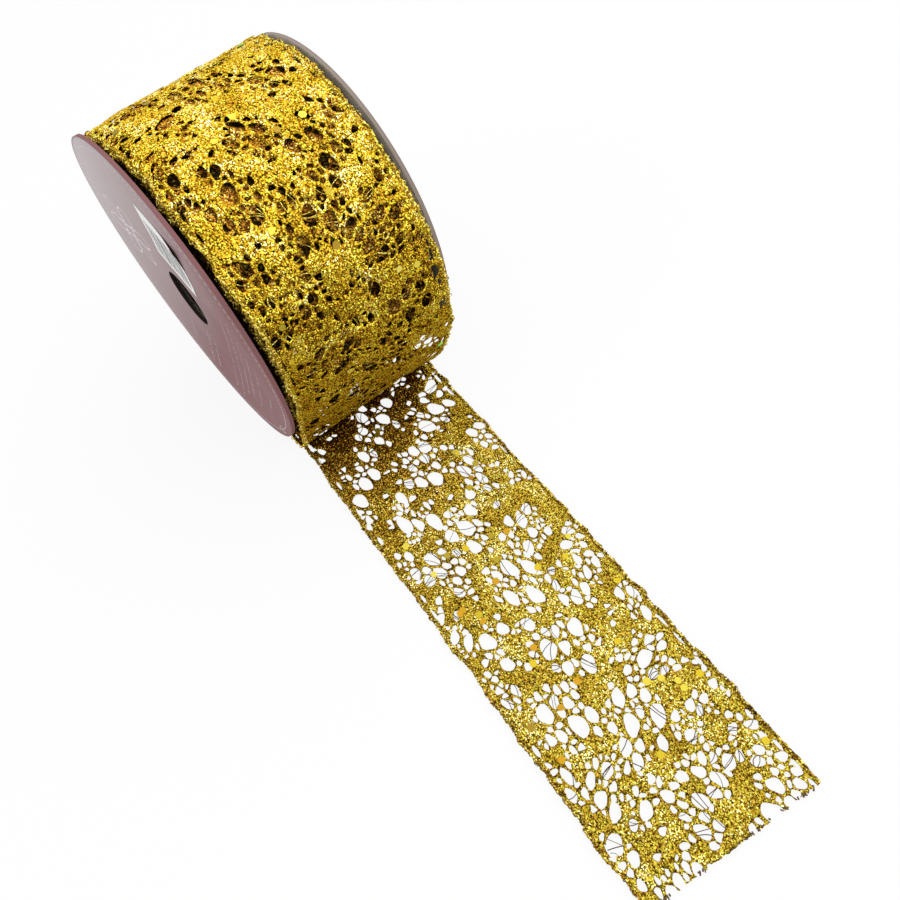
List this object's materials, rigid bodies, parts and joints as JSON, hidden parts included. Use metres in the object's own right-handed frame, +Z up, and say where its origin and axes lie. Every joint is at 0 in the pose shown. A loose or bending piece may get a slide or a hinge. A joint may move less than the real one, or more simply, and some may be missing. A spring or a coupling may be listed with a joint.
{
  "type": "ribbon spool",
  "caption": "Two card discs on a paper core tube hold a wound roll of openwork glitter lace ribbon, with a loose outer turn and a flat free tail.",
  "frame": {"origin": "middle of the spool's axis, half-way between the two discs", "axes": "+X along the spool's axis from the printed front disc to the back disc, -Y the way the tail leaves, +Z up from the table"},
  "size_m": [0.0854, 0.3033, 0.1206],
  "materials": {
    "tinted_board": "matt, dyed dark plum at the cut edge",
    "printed_facing": "gloss-coated mauve print with fine white line work",
    "sticker_paper": "semi-gloss white label with grey bars",
    "grey_board": "matt bare board with fine dark specks",
    "plain_facing": "semi-gloss plain mauve liner",
    "tube_board": "matt spiral-wound kraft board",
    "hot_glue": "smooth translucent bead",
    "clear_tape": "clear gloss film",
    "dark_lace": "shadowed glitter lace layers",
    "gold_lace": "openwork lace crusted with fine gold glitter",
    "gold_cord": "overcast metallic thread",
    "gold_sequin": "metallised foil hexagons"
  },
  "bodies": {
    "loose_turn": {"outer_turn": "gold_lace", "outer_turn_edge_cords": "gold_cord", "outer_turn_sequins": "gold_sequin"},
    "spool": {"front_flange_board": "tinted_board", "front_flange_facing": "printed_facing", "barcode_sticker": "sticker_paper", "back_flange_board": "grey_board", "back_flange_facing": "plain_facing", "core_tube": "tube_board", "front_glue_bead": "hot_glue", "back_glue_bead": "hot_glue", "core_tape": "clear_tape", "wound_ribbon": "dark_lace"},
    "tail": {"ribbon_tail": "gold_lace", "tail_edge_cords": "gold_cord", "tail_sequins": "gold_sequin"}
  },
  "joints": [
    {"name": "tail_pull", "type": "slide", "parent": "loose_turn", "child": "tail", "axis": [-0.0958, -0.9954, 0], "range_m": [0, 0.06]},
    {"name": "spool_spin", "type": "hinge", "parent": "loose_turn", "child": "spool", "pos_m": [0, 0, 0], "axis": [-1, 0, 0], "range_deg": [0, 59]}
  ],
  "couplings": [
    {"joint": "spool_spin", "follows": "tail_pull", "rad_per_m": 17}
  ]
}
